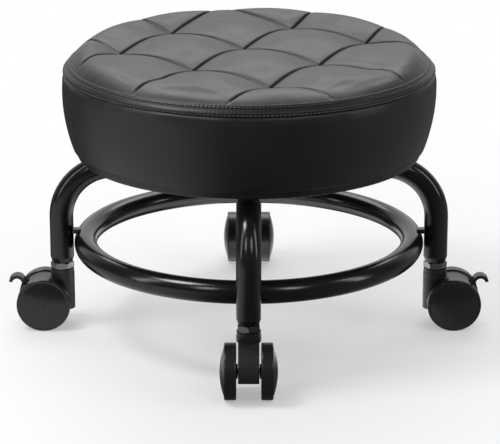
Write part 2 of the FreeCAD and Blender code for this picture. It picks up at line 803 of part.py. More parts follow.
def make_jam_nuts():
    """Hexagonal nuts that lock the stems under the legs."""
    members = []
    for spot in PLACES:
        block = hexagon("jam_" + spot, "nut_flats", "nut_high")
        bore = primitive(
            "Cylinder", "jam_bore_" + spot, Radius=bound("insert_bore"), Height=bound("nut_high")
        )
        nut = boolean("Cut", "jam_nut_" + spot, block, bore)
        stand(nut, spot, up="nut_under")
        members.append(nut)
    group("stem_jam_nuts", members)


def make_snap_rings():
    """Split rings that hold the hoods on the stems."""
    members = []
    for spot in PLACES:
        ring = tube("snap_" + spot, "snap_outer", "snap_bore", "snap_thick")
        mouth = primitive(
            "Box",
            "snap_mouth_" + spot,
            Length=bound("snap_outer"),
            Width=bound("snap_mouth"),
            Height=bound("snap_thick"),
            Placement_Base_y="-Sizes.snap_mouth / 2",
        )
        clip = boolean("Cut", "snap_ring_" + spot, ring, mouth)
        stand(clip, spot, up="snap_up")
        members.append(clip)
    group("stem_snap_rings", members)


def make_hood(spot):
    """Moulded hood: a stem socket, an arched shell between the wheels and a boss for the axle."""
    body = new_body("caster_hood_" + spot)
    slab(
        body,
        "hood_width",
        [
            ("-wall_back", "hood_hem_up"),
            ("belly_in_out", "belly_in_up"),
            ("lip_out", "lip_up"),
            ("socket_radius", "crest_up", "hood_arc"),
            ("-wall_back", "crest_up"),
        ],
    )
    disc(body, "hood_hem_up", "wall_high", [("-wall_back", "0", "hood_half")])
    turn(
        body,
        [
            ("0", "crest_up"),
            ("hood_half", "crest_up"),
            ("socket_radius", "socket_skirt"),
            ("socket_radius", "rim_under"),
            ("rim_radius", "rim_under"),
            ("rim_radius", "socket_top"),
            ("0", "socket_top"),
        ],
    )
    cavity = [
        ("cavity_back", "0"),
        ("cavity_front", "0"),
        ("cavity_front", "wheel_radius"),
        ("cavity_back", "cavity_crest", "cavity_arc"),
    ]
    checked_cut(body, lambda: slab(body, "cavity_width", cavity, kind="Pocket"))
    slab(body, "hood_width", holes=[("trail", "wheel_radius", "axle_boss")])
    axle_hole = [("trail", "wheel_radius", "wheel_bore")]
    checked_cut(body, lambda: slab(body, "through_width", holes=axle_hole, kind="Pocket"))
    bore = [
        ("0", "bore_floor"),
        ("stem_bore", "bore_floor"),
        ("stem_bore", "snap_under"),
        ("snap_relief", "snap_under"),
        ("snap_relief", "snap_over"),
        ("stem_bore", "snap_over"),
        ("stem_bore", "socket_top"),
        ("0", "socket_top"),
    ]
    checked_cut(body, lambda: turn(body, bore, "Groove"))
    if spot in BRAKED:
        slot = [
            ("slot_a_x", "slot_a_z"),
            ("slot_b_x", "slot_b_z"),
            ("slot_c_x", "slot_c_z"),
            ("slot_d_x", "slot_d_z"),
        ]
        openings = [("window_x", "window_z", "window_radius"), ("pivot_x", "pivot_z", "pivot_bore")]
        checked_cut(body, lambda: slab(body, "slot_width", slot, kind="Pocket"))
        checked_cut(body, lambda: slab(body, "through_width", holes=openings, kind="Pocket"))
    stand(body, spot)


def cross_bar(label, spot, radius, half_long, out, up):
    """A round bar across a caster, parallel to its axle."""
    bar = primitive("Cylinder", label, Radius=radius, Height=f"2 * ({half_long})")
    bar.Label = label
    cosine, sine, angle = PLACES[spot]
    rotation = FreeCAD.Rotation(FreeCAD.Vector(0, 0, 1), angle)
    rotation = rotation.multiply(FreeCAD.Rotation(FreeCAD.Vector(1, 0, 0), -90))
    bar.Placement = FreeCAD.Placement(FreeCAD.Vector(0, 0, 0), rotation)
    bar.setExpression("Placement.Base.x", f"{cosine} * ({out}) + ({sine}) * ({half_long})")
    bar.setExpression("Placement.Base.y", f"{sine} * ({out}) - ({cosine}) * ({half_long})")
    bar.setExpression("Placement.Base.z", up)
    pieces.append(bar)


def make_wheel(spot, letter):
    """Wheel: a domed disc with a hollow back, a rim and a boss with a blind bore; and its tyre."""
    side = WHEEL_SIDES[letter]
    term = "wheel_in" if side > 0 else "-wheel_in"
    wheel = new_body(f"wheel_{spot}_{letter}")
    turn(
        wheel,
        [
            ("wheel_bore", "-boss_in"),
            ("boss_radius", "-boss_in"),
            ("boss_radius", "web_in"),
            ("rim_inner", "web_in"),
            ("rim_inner", "0"),
            ("hub_outer", "0"),
            ("hub_outer", "tread_width"),
            ("0", "dome_top", "dome_curve"),
            ("0", "bore_end"),
            ("wheel_bore", "bore_end"),
        ],
    )
    stand(wheel, spot, "axle_reach", term, "wheel_radius", -90 * side)
    tyre = new_body(f"tyre_{spot}_{letter}")
    turn(
        tyre,
        [
            ("hub_outer", "0"),
            ("tread_shoulder", "0"),
            ("wheel_radius", "tyre_round", "tyre_round"),
            ("wheel_radius", "tread_far"),
            ("tread_shoulder", "tread_width", "tyre_round"),
            ("hub_outer", "tread_width"),
        ],
    )
    stand(tyre, spot, "axle_reach", term, "wheel_radius", -90 * side)


def make_brake_lever(spot):
    """Rocker: an eye for the brake bar, a hub on the pivot pin and a curved tab for the toe."""
    body = new_body("brake_lever_" + spot)
    slab(body, "lever_width", holes=[("pivot_x", "pivot_z", "hub_eye")])
    slab(
        body,
        "lever_width",
        [
            ("bar_x", "ear_under"),
            ("pivot_x", "hub_under"),
            ("pivot_x", "hub_over"),
            ("bar_x", "ear_over"),
        ],
    )
    slab(body, "lever_width", holes=[("bar_x", "bar_z", "ear_eye")])
    slab(
        body,
        "lever_width",
        [
            ("pivot_x", "hub_under"),
            ("bill_root_in", "bill_z"),
            ("bill_root_out", "bill_z"),
            ("pivot_x", "hub_over"),
        ],
    )
    slab(
        body,
        "lever_width",
        [
            ("bill_root_in", "bill_z"),
            ("tip_under_x", "tip_under_z", "-bill_inner"),
            ("tip_over_x", "tip_over_z"),
            ("bill_root_out", "bill_z", "bill_outer"),
        ],
    )
    bores = [("pivot_x", "pivot_z", "pivot_bore"), ("bar_x", "bar_z", "bar_bore")]
    checked_cut(body, lambda: slab(body, "through_width", holes=bores, kind="Pocket"))
    stand(body, spot)


def make_caster(spot):
    """Everything that one caster is made of, apart from the grouped nuts and rings."""
    make_stem(spot)
    make_hood(spot)
    axle_out = bound("axle_reach")
    axle_up = bound("wheel_radius")
    cross_bar("axle_" + spot, spot, bound("axle_radius"), bound("axle_half"), axle_out, axle_up)
    for letter in WHEEL_SIDES:
        make_wheel(spot, letter)
    if spot in BRAKED:
        make_brake_lever(spot)
        pin_out = "Sizes.leg_radius + Sizes.pivot_x"
        pin_half = "Sizes.pivot_pin_long / 2"
        bar_out = "Sizes.leg_radius + Sizes.bar_x"
        bar_half = "Sizes.bar_long / 2"
        cross_bar("brake_pin_" + spot, spot, bound("pivot_radius"), pin_half, pin_out, bound("pivot_z"))
        cross_bar("brake_bar_" + spot, spot, bound("bar_radius"), bar_half, bar_out, bound("bar_z"))


# Build and write


def check_and_write():
    """Refuse a failed object or a bad shape, then write one STEP file for each piece."""
    doc.recompute()
    for item in doc.Objects:
        if "Invalid" in item.State or "Error" in item.State:
            raise RuntimeError(f"{item.Label} failed: {item.State}")
    for piece in pieces:
        if piece.Shape.isNull() or not piece.Shape.isValid() or not piece.Shape.Solids:
            raise RuntimeError(f"{piece.Label} has no valid shape")
    os.makedirs("parts", exist_ok=True)
    for piece in pieces:
        piece.Shape.exportStep(f"parts/{piece.Label}.step")
        print(f"{piece.Label}: {len(piece.Shape.Solids)} solid(s), {piece.Shape.Volume / 1000:.2f} cm3")
    print(len(pieces), "pieces")


fill_sheet()
for place in PLACES:
    make_leg(place)
    make_insert(place)
make_foot_ring()
make_ring_tabs()
make_hub()
make_plate()
make_board()
make_dust_cloth()
make_foam()
make_covers()
make_fastenings()
make_jam_nuts()
make_snap_rings()
for place in PLACES:
    make_caster(place)
check_and_write()
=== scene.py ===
# %% [markdown]
# # A rolling pedicure stool
#
# A round padded seat, quilted on top, stands on four bent tube legs with a foot ring and four twin-wheel
# casters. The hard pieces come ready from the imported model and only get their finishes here. The seat's
# leatherette cover, its stitching and the dust cloth under it are made in this file, as surfaces worked
# out with numpy. Everything is in metres, with the floor at z = 0 and the seat's middle on the Z axis.

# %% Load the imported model
import json
import math

import bpy
import numpy as np
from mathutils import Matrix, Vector


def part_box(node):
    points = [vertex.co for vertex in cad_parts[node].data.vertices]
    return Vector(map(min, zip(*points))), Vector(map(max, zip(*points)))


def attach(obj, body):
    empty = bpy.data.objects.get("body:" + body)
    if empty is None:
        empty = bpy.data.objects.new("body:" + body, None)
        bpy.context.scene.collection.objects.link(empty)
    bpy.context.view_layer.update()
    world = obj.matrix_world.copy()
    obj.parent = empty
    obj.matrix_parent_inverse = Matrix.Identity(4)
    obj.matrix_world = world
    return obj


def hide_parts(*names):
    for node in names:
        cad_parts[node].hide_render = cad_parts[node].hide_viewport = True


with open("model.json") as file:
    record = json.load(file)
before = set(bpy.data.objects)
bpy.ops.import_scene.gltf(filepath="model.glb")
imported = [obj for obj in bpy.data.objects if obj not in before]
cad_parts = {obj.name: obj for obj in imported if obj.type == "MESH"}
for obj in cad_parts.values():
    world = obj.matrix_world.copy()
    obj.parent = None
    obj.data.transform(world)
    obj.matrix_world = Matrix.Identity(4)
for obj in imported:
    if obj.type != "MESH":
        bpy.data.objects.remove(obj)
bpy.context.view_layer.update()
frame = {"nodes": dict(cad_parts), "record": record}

scene = bpy.context.scene

# %% [markdown]
# ## The view and the studio
#
# A product view of low furniture is taken from a little above, with a long lens from over two metres away,
# so that circles stay calm ellipses. Blender's lens is in millimetres on a 36 mm wide sensor.

# %% Camera
LENS = 175.5
CAMERA_PLACE = (0.0011, -2.161, 0.7782)
LOOK_DOWN = 17.42

camera_data = bpy.data.cameras.new("camera")
camera_data.sensor_width = 36.0
camera_data.lens = LENS
camera = bpy.data.objects.new("camera", camera_data)
camera.location = CAMERA_PLACE
camera.rotation_euler = (math.radians(90.0 - LOOK_DOWN), 0.0, 0.0)
scene.collection.objects.link(camera)
scene.camera = camera
scene.view_settings.view_transform = "Standard"
print("camera lens", LENS, "mm, looking down", LOOK_DOWN, "degrees")

# %% [markdown]
# ## Writing shader maths as sums
#
# A pattern such as leather grain is arithmetic on noise. Adding a Math node by hand for every sign is
# slow to read, so one small class wraps a socket, and `mask * 0.5 + 0.2` adds the nodes by itself.
# A second class is a material being made: its tree, its shader and one method that adds any other node.


# %% Sockets that can be written into sums
def find_socket(sockets, key):
    """The socket with this position, identifier or name."""
    if isinstance(key, int):
        return sockets[key]
    matches = [socket for socket in sockets if key in (socket.identifier, socket.name)]
    return matches[0]


def add_node(tree, kind, settings, sockets, output=0):
    """Add one node: its settings first, then a value or a link for each named socket."""
    node = tree.nodes.new(kind)
    for setting, value in settings.items():
        setattr(node, setting, value)
    for key, value in sockets.items():
        socket = find_socket(node.inputs, key)
        if isinstance(value, Wire):
            tree.links.new(value.socket, socket)
        else:
            socket.default_value = value
    return Wire(find_socket(node.outputs, output))


class Wire:
    """An output socket. Sums written with it add the Math nodes that work them out."""

    def __init__(self, socket):
        self.socket = socket

    def math(self, operation, first, second):
        """One Math node on two terms, either of which may be a number."""
        tree = self.socket.id_data
        return add_node(tree, "ShaderNodeMath", {"operation": operation}, {0: first, 1: second})

    def __add__(self, other):
        return self.math("ADD", self, other)

    def __sub__(self, other):
        return self.math("SUBTRACT", self, other)

    def __rsub__(self, other):
        return self.math("SUBTRACT", other, self)

    def __mul__(self, other):
        return self.math("MULTIPLY", self, other)

    __radd__ = __add__
    __rmul__ = __mul__


print("sums of sockets ready")

# %% A material being made
EASE = {"interpolation_type": "SMOOTHSTEP"}


class Finish:
    """A material being made, with its Principled shader."""

    def __init__(self, name, fixed):
        self.material = bpy.data.materials.new(name)
        self.material.use_nodes = True
        self.tree = self.material.node_tree
        self.shader = self.tree.nodes["Principled BSDF"]
        for key, value in fixed.items():
            self.shader.inputs[key].default_value = value

    def node(self, kind, settings=None, sockets=None, output=0):
        """Add any node to this material."""
        return add_node(self.tree, kind, settings or {}, sockets or {}, output)

    def feed(self, key, wire):
        """Drive one of the shader's sockets."""
        self.tree.links.new(wire.socket, self.shader.inputs[key])

    def place(self, stretch=(1.0, 1.0, 1.0)):
        """Object coordinates in metres, stretched by a factor on each axis."""
        where = self.node("ShaderNodeTexCoord", output="Object")
        return self.node("ShaderNodeMapping", {}, {"Vector": where, "Scale": stretch})

    def noise(self, where, scale, detail=2.0, rough=0.5):
        """Soft noise from 0 to 1; scale is cells per metre."""
        sockets = {"Vector": where, "Scale": scale, "Detail": detail, "Roughness": rough}
        return self.node("ShaderNodeTexNoise", {}, sockets)

    def tint(self, mask, dark, light):
        """A colour that goes from dark to light with the mask."""
        sockets = {"Factor_Float": mask, "A_Color": (*dark, 1.0), "B_Color": (*light, 1.0)}
        return self.node("ShaderNodeMix", {"data_type": "RGBA"}, sockets, "Result_Color")

    def ease(self, sockets):
        """A Map Range node with smooth ends."""
        return self.node("ShaderNodeMapRange", EASE, sockets, "Result")

    def show(self, wire):
        """Make this the material's surface in place of the Principled shader."""
        self.tree.links.new(wire.socket, self.tree.nodes["Material Output"].inputs["Surface"])

    def bump(self, height, depth, strength=1.0):
        """Feed the Normal socket from a height; depth is in metres."""
        sockets = {"Height": height, "Distance": depth, "Strength": strength}
        self.feed("Normal", self.node("ShaderNodeBump", {}, sockets))


print("shader helpers ready")

# %% [markdown]
# ## Finishes
#
# All visible pieces are black, so they differ by gloss and by their small relief: soft grained
# leatherette, slightly pebbled powder coat, moulded nylon, rubbery treads and a plated nut. Each could be
# an image wrapped round its piece. Noise on object coordinates needs no unwrapping, doesn't repeat and
# keeps its scale in metres, so all finishes are made from it.


# %% Leatherette
def make_leather(name, dark, light, gloss):
    """Coated leatherette: fine pebbles, pores between them and a slightly uneven sheen.

    Pebbles are rounded Voronoi cells about 0.9 mm across; the bump is the distance from their middles.
    """
    finish = Finish(name, {"Specular IOR Level": 0.5})
    where = finish.place()
    warp = finish.noise(where, 260.0, 3.0)
    sockets = {"Vector": where, "Scale": 1150.0, "Smoothness": 0.6}
    pebbles = finish.node("ShaderNodeTexVoronoi", {"feature": "SMOOTH_F1"}, sockets, "Distance")
    cloudy = finish.noise(where, 24.0, 3.0)
    finish.feed("Base Color", finish.tint(cloudy, dark, light))
    finish.feed("Roughness", cloudy * 0.10 + warp * 0.06 + gloss)
    finish.bump(pebbles * 0.8 + warp * 0.5, 0.00009, 0.55)
    return finish.material


leather = make_leather("leatherette", (0.0040, 0.0040, 0.0042), (0.0068, 0.0068, 0.0070), 0.33)
print("made", leather.name)


# %% Powder coat and board paint
def make_powder_coat():
    """Black powder coat: a hard semi-gloss skin with a faint orange-peel relief."""
    finish = Finish("powder_coat", {"Specular IOR Level": 0.5})
    where = finish.place()
    peel = finish.noise(where, 620.0, 2.0)
    drift = finish.noise(where, 18.0, 2.0)
    finish.feed("Base Color", finish.tint(drift, (0.0030, 0.0030, 0.0033), (0.0055, 0.0055, 0.0060)))
    finish.feed("Roughness", drift * 0.07 + 0.15)
    finish.bump(peel, 0.00006, 0.5)
    return finish.material


def make_board_paint():
    """Black-painted plywood: a dull film with the ply layers just showing through at the edge."""
    finish = Finish("board_paint", {})
    where = finish.place((1.0, 1.0, 60.0))
    layers = finish.noise(where, 14.0, 2.0)
    fibres = finish.noise(finish.place(), 380.0, 4.0)
    finish.feed("Base Color", finish.tint(layers, (0.0045, 0.0045, 0.0045), (0.0085, 0.0082, 0.0080)))
    finish.feed("Roughness", fibres * 0.12 + 0.16)
    finish.bump(fibres * 0.6 + layers * 0.8, 0.00010, 0.5)
    return finish.material


frame_coat, board_paint = make_powder_coat(), make_board_paint()
print("made", frame_coat.name, "and", board_paint.name)


# %% Moulded and plated finishes
def make_moulded(name, dark, light, rough, grain, depth):
    """Moulded plastic or rubber: nearly even colour, fine mould texture and slow changes of gloss.

    Grain is the texture's cells per metre and depth its relief in metres.
    """
    finish = Finish(name, {})
    where = finish.place()
    fine = finish.noise(where, grain, 3.0)
    drift = finish.noise(where, 60.0, 2.0)
    finish.feed("Base Color", finish.tint(drift, dark, light))
    finish.feed("Roughness", fine * 0.06 + drift * 0.10 + rough)
    finish.bump(fine, depth, 0.5)
    return finish.material


def make_metal(name, tone, rough):
    """Plated steel: metallic, with faint scratches round the upright axis, as noise squeezed in height."""
    finish = Finish(name, {"Metallic": 1.0})
    where = finish.place((1.0, 1.0, 14.0))
    brushed = finish.noise(where, 240.0, 3.0)
    finish.feed("Base Color", finish.tint(brushed, tone, tuple(1.25 * part for part in tone)))
    finish.feed("Roughness", brushed * 0.12 + rough)
    finish.bump(brushed, 0.00002, 0.4)
    return finish.material


print("moulded and plated finishes ready")


# %% Spun-bonded cloth
def make_nonwoven():
    """Black spun-bonded cloth: matt fibres with a grid of small welded dimples."""
    finish = Finish("nonwoven", {"Sheen Weight": 0.25, "Sheen Roughness": 0.5})
    where = finish.place()
    fibres = finish.noise(where, 900.0, 5.0, 0.7)
    sockets = {"Vector": where, "Scale": 420.0, "Randomness": 0.15}
    dimples = finish.node("ShaderNodeTexVoronoi", {"feature": "F1"}, sockets, "Distance")
    finish.feed("Base Color", finish.tint(fibres, (0.010, 0.010, 0.010), (0.030, 0.030, 0.030)))
    finish.feed("Roughness", fibres * 0.1 + 0.85)
    finish.bump(dimples + fibres * 0.5, 0.00025, 0.7)
    return finish.material


nonwoven = make_nonwoven()
print("made", nonwoven.name)

# %% A finish for each slot of the record
HOOD_TONES = ((0.0075, 0.0070, 0.0066), (0.0120, 0.0112, 0.0105))
NYLON_TONES = ((0.0055, 0.0055, 0.0055), (0.0090, 0.0090, 0.0090))
TREAD_TONES = ((0.0060, 0.0060, 0.0060), (0.0095, 0.0095, 0.0095))

finishes = {
    "frame_coat": frame_coat,
    "zinc_steel": make_metal("zinc_steel", (0.55, 0.56, 0.58), 0.26),
    "black_chrome": make_metal("black_chrome", (0.17, 0.17, 0.175), 0.10),
    "board": board_paint,
    "dust_cloth": nonwoven,
    "cover_leather": leather,
    "hood_nylon": make_moulded("hood_nylon", *HOOD_TONES, 0.28, 1500.0, 0.00004),
    "lever_nylon": make_moulded("lever_nylon", *NYLON_TONES, 0.20, 1500.0, 0.00003),
    "wheel_nylon": make_moulded("wheel_nylon", *NYLON_TONES, 0.18, 1300.0, 0.00003),
    "tread": make_moulded("tread", *TREAD_TONES, 0.20, 1100.0, 0.00003),
}
print(len(finishes), "finishes for the record's slots")

# %% [markdown]
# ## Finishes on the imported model
#
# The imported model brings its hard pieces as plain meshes. Each row of its record names a material slot,
# so the finish is looked up there. The foam has no finish of its own and takes the leather: it isn't seen.

# %% Give every CAD node its finish
for part in frame["record"]["subparts"]:
    node = frame["nodes"][part["node"]]
    finish = finishes.get(part["material_slot"], leather)
    if not node.material_slots:
        node.data.materials.append(finish)
    for slot in node.material_slots:
        slot.material = finish


# %% [markdown]
# ## Surfaces from numpy grids
#
# A sheet of leather is a surface that depends on two numbers, such as the way round the seat and the way
# down its side. Working the points out as whole arrays is quick and keeps each shape in one formula.


# %% Mesh helpers
def mesh_object(name, points, quads, finish, triangles=None):
    """Make an object at the origin from an array of points and an array of four-cornered faces."""
    faces = quads.tolist() + (triangles.tolist() if triangles is not None else [])
    mesh = bpy.data.meshes.new(name)
    mesh.from_pydata(points.tolist(), [], faces)
    mesh.polygons.foreach_set("use_smooth", np.ones(len(mesh.polygons), dtype=bool))
    mesh.materials.append(finish)
    mesh.validate()
    made = bpy.data.objects.new(name, mesh)
    scene.collection.objects.link(made)
    print(name, len(mesh.polygons), "faces")
    return made


def grid_quads(rows, columns, wrap):
    """Corner numbers of the faces between neighbouring grid points.

    With wrap, the last column is joined to the first.
    """
    last = columns if wrap else columns - 1
    row, column = np.meshgrid(np.arange(rows - 1), np.arange(last), indexing="ij")
    ahead = (column + 1) % columns
    corners = (row * columns + column, row * columns + ahead,
               (row + 1) * columns + ahead, (row + 1) * columns + column)
    return np.stack([corner.ravel() for corner in corners], axis=1)


def smooth_step(x):
    """0 below 0, 1 above 1 and an even S between them."""
    x = np.clip(x, 0.0, 1.0)
    return x * x * (3.0 - 2.0 * x)


print("mesh helpers ready")

# %% [markdown]
# ## The seat's measures
#
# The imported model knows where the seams, the belly and the board are, so the cover takes its sizes from
# their boxes. Only the quilting, which the CAD model leaves out, has sizes of its own.

# %% Sizes read from the frame
SEAM_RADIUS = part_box("seat_top_cover")[1].x
TOP_SEAM_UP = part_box("seat_edge_band")[1].z
LOW_SEAM_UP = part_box("seat_side_cover")[1].z
BELLY_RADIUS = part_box("seat_side_cover")[1].x
HEM_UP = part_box("seat_side_cover")[0].z
BOARD_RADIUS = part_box("seat_board")[1].x
BOARD_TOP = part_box("seat_board")[1].z
print("seam radius", round(SEAM_RADIUS, 4), "belly radius", round(BELLY_RADIUS, 4))
print("seams at", round(TOP_SEAM_UP, 4), "and", round(LOW_SEAM_UP, 4))

# %% [markdown]
# ## The quilted top
#
# Two families of straight seams cross the top and tie it down, and the foam between them stands up as
# pillows. This could be sculpted, but a height formula is exact at the seams. A grid that runs along the
# seams keeps their creases sharp, because a row of points lies in each crease. Points outside the round
# edge are drawn in onto it.

# %% Quilting sizes
# The seams: the step from line to line, its direction, the first crossing and the lines in each family.
QUILT_PITCHES = (0.0875, 0.0861)
QUILT_ANGLES = (math.radians(141.15), math.radians(58.55))
QUILT_START = np.array([0.0184, -0.1010])
QUILT_LINES = 3

# The foam's dome: its rise and its shoulder's width, and what wear adds from the middle to front or back.
TOP_EDGE_RADIUS = SEAM_RADIUS - 0.0012
TOP_EDGE_UP = TOP_SEAM_UP - 0.0004
DOME_RISE = 0.0155
DOME_WEAR = 0.0045
SHOULDER_WIDTH = 0.0270
SHOULDER_WEAR = 0.0230
SHOULDER_POWER = 2.5

# How far the seams pull the dome down, and how far in from the rim the full pull is reached.
SINK = 0.0125
SINK_WEAR = 0.0010
SINK_REACH = 0.050
ARCH_SHARE = 0.72
PILLOW_FULLNESS = 0.50

# The notch that the thread cuts, and the small folds beside the rim.
CREASE_CUT = 0.0021
CREASE_HALF_WIDTH = 0.0013
CREASE_FADE = 0.012
FOLD_HEIGHT = 0.00016
FOLD_INWARD = 0.007
FOLD_SPREAD = 0.006

quilt_axes = np.array([
    [pitch * math.cos(angle), pitch * math.sin(angle)]
    for pitch, angle in zip(QUILT_PITCHES, QUILT_ANGLES)
])
print("quilt pitches", QUILT_PITCHES)


# %% Height of the quilted top
def quilt_sines(x, y):
    """0 on a seam and 1 midway between two, for each family: the sine of pi times the place in the cell.

    Outside the outermost lines the place stops half a cell on, so that no further seams appear.
    """
    cell = (np.stack([x, y], axis=-1) - QUILT_START) @ np.linalg.inv(quilt_axes)
    cell = np.clip(cell, -0.5, QUILT_LINES - 0.5)
    return np.abs(np.sin(np.pi * cell[..., 0])), np.abs(np.sin(np.pi * cell[..., 1]))


def quilt_height(x, y):
    """Height of the top over the floor.

    Dome: it rises from the edge seam as 1 - (1 - shoulder) ** 2.5, where shoulder goes from 0 to 1 across
    the shoulder's width. It is worn a few millimetres lower at the front, and its shoulder is wider there.

    Sag: in each quilt cell, s and t are the sines of half a turn from seam to seam. The sag is 1 where
    seams cross and 0 in the middle of a pillow: 1 less a share of the mean of s and t, and less the rest
    of (s t) ** fullness. Times its depth, it is taken off the dome, and it fades out towards the rim.

    Notch and folds: the thread cuts a narrow bell-shaped notch into each crease. Near the rim the leather
    gathers in folds, a product of two sines of the turn under a bell of the distance inward.
    """
    s, t = quilt_sines(x, y)
    radius = np.hypot(x, y)
    front = np.clip(-y / np.maximum(radius, 0.001), 0.0, 1.0)
    inward = np.maximum(TOP_EDGE_RADIUS - radius, 0.0)
    shoulder = np.clip(inward / (SHOULDER_WIDTH + SHOULDER_WEAR * front ** 2), 0.0, 1.0)
    rise = DOME_RISE + DOME_WEAR * y / SEAM_RADIUS
    dome = TOP_EDGE_UP + rise * (1.0 - (1.0 - shoulder) ** SHOULDER_POWER)
    sag = 1.0 - ARCH_SHARE * 0.5 * (s + t) - (1.0 - ARCH_SHARE) * (s * t) ** PILLOW_FULLNESS
    depth = (SINK - SINK_WEAR * y / SEAM_RADIUS) * smooth_step(inward / SINK_REACH)
    crease_distance = QUILT_PITCHES[0] * np.minimum(s, t) / np.pi
    notch = CREASE_CUT * np.exp(-((crease_distance / CREASE_HALF_WIDTH) ** 2))
    notch = notch * smooth_step(inward / CREASE_FADE)
    turn = np.arctan2(y, x)
    gather = FOLD_HEIGHT * np.exp(-((inward - FOLD_INWARD) / FOLD_SPREAD) ** 2)
    folds = gather * np.sin(43.0 * turn + 3.0 * np.sin(5.0 * turn)) * np.sin(11.0 * turn + 1.0)
    return dome - depth * sag - notch + folds


print("height in the middle", round(float(quilt_height(0.0, 0.0)), 4))

# %% Sheet along the seams
CELLS_EACH_WAY = 4
CROWDING = 0.75
STEPS_IN_A_CELL = 48


def crease_lines(steps):
    """Places along one seam family, denser near the seams: t less 0.75 sin(2 pi t) / (2 pi)."""
    t = np.arange(-CELLS_EACH_WAY * steps, CELLS_EACH_WAY * steps + 1) / steps
    return t - CROWDING * np.sin(2.0 * np.pi * t) / (2.0 * np.pi)


def quilted_sheet(steps):
    """Grid points along both seam families, cut round by drawing the points outside in onto the edge."""
    lines = crease_lines(steps)
    p, q = np.meshgrid(lines, lines, indexing="ij")
    flat = QUILT_START + p[..., None] * quilt_axes[0] + q[..., None] * quilt_axes[1]
    flat = flat.reshape(-1, 2)
    radius = np.hypot(flat[:, 0], flat[:, 1])
    inside = radius < TOP_EDGE_RADIUS - 0.0003
    quads = grid_quads(len(lines), len(lines), False)
    quads = quads[inside[quads].any(axis=1)]
    flat[~inside] *= (TOP_EDGE_RADIUS / radius[~inside])[:, None]
    used, quads = np.unique(quads, return_inverse=True)
    flat = flat[used]
    height = quilt_height(flat[:, 0], flat[:, 1])
    return np.column_stack([flat, height]), quads.reshape(-1, 4)[:, ::-1]


top_points, top_quads = quilted_sheet(STEPS_IN_A_CELL)
seat_top = mesh_object("seat_quilted_top", top_points, top_quads, leather)
print("top from", round(float(top_points[:, 2].min()), 4), "to", round(float(top_points[:, 2].max()), 4))

# %% [markdown]
# ## Foam under the leather
#
# The formula gives the shape that was sewn. Foam then pushes the leather out between the seams, and a cloth
# simulation lets it stretch and crease as it likes. Points on the seams and the rim are held, pressure
# pushes on the rest, and moves are shortened so that none passes a set distance. The sheet keeps its own
# grid, because a remesh would wipe out the creases.

# %% Let the foam push the leather out
PRESSURE = 4.0
SETTLE_FRAMES = 20
MOST_MOVE = 0.0016
HELD_WIDTH = 0.005
LOOSENING_WIDTH = 0.013


def free_to_move(x, y):
    """0 within 5 mm of a seam or the rim, rising smoothly to 1 some 18 mm from both."""
    from_seam = QUILT_PITCHES[0] * np.minimum(*quilt_sines(x, y)) / np.pi
    from_rim = TOP_EDGE_RADIUS - np.hypot(x, y)
    return smooth_step((np.minimum(from_seam, from_rim) - HELD_WIDTH) / LOOSENING_WIDTH)


def settle(piece, points, free):
    """Run the cloth and keep each point's move, shortened to most * tanh(move / most) * free."""
    held = piece.vertex_groups.new(name="held")
    held.add(np.flatnonzero(free <= 0.0).tolist(), 1.0, "REPLACE")
    cloth = piece.modifiers.new("cloth", "CLOTH")
    cloth.settings.vertex_group_mass = "held"
    cloth.settings.use_pressure = True
    cloth.settings.uniform_pressure_force = PRESSURE
    cloth.settings.effector_weights.gravity = 0.0
    cloth.point_cache.frame_start = 1
    cloth.point_cache.frame_end = SETTLE_FRAMES
    for frame_number in range(1, SETTLE_FRAMES + 1):
        scene.frame_set(frame_number)
    settled = piece.evaluated_get(bpy.context.evaluated_depsgraph_get()).to_mesh()
    places = np.empty(3 * len(points))
    settled.vertices.foreach_get("co", places)
    move = places.reshape(-1, 3) - points
    piece.modifiers.remove(cloth)
    piece.vertex_groups.remove(held)
    scene.frame_set(1)
    length = np.maximum(np.linalg.norm(move, axis=1), 1e-9)[:, None]
    kept = move / length * MOST_MOVE * np.tanh(length / MOST_MOVE) * free[:, None]
    piece.data.vertices.foreach_set("co", (points + kept).ravel())
    piece.data.update()
    print("largest raw move", round(float(length.max()), 4), "kept", round(float(np.abs(kept).max()), 4))


settle(seat_top, top_points, free_to_move(top_points[:, 0], top_points[:, 1]))

# %% [markdown]
# ## The seat's edge and side
#
# The edge band and the side panel are strips of leather sewn round the seat. Turning one outline round
# the axis makes them both. The outline dips into a groove at each seam, and its two lips are pulled in a
# little at every stitch, which is what makes a sewn edge look sewn. Simulated cloth would lose the seams.

# %% Sewing sizes
STITCH_COUNT = 288
COLUMNS = 4 * STITCH_COUNT
LIP = 0.0011
GROOVE = 0.0016
GROOVE_ROUND = 0.0004
PUCKER = 0.00022
STRETCH = 0.00030
SIDE_FOLD = 0.00022
SHOULDER_ROUND = 0.0052
BELLY_UP = 0.228
BELLY_FALL = 0.0007
HEM_ROLL = 0.0016
TUCK_RADIUS = BOARD_RADIUS + 0.0001
print("one stitch every", round(2000.0 * math.pi * SEAM_RADIUS / STITCH_COUNT, 2), "mm")


# %% Outline of the side
def arc_points(centre, radius, start, end, count):
    """Points on a circle's arc: centre plus radius times cosine and sine, angles in degrees."""
    angles = np.radians(np.linspace(start, end, count))
    return np.column_stack([centre[0] + radius * np.cos(angles), centre[1] + radius * np.sin(angles)])


def bowed(start, end, bow, count):
    """A line from start to end with a parabola of height bow added on its left; both ends are kept."""
    share = np.linspace(0.0, 1.0, count)
    start, end = np.array(start), np.array(end)
    along = (end - start) / np.linalg.norm(end - start)
    left = np.array([-along[1], along[0]])
    return start + share[:, None] * (end - start) + (4.0 * bow * share * (1.0 - share))[:, None] * left


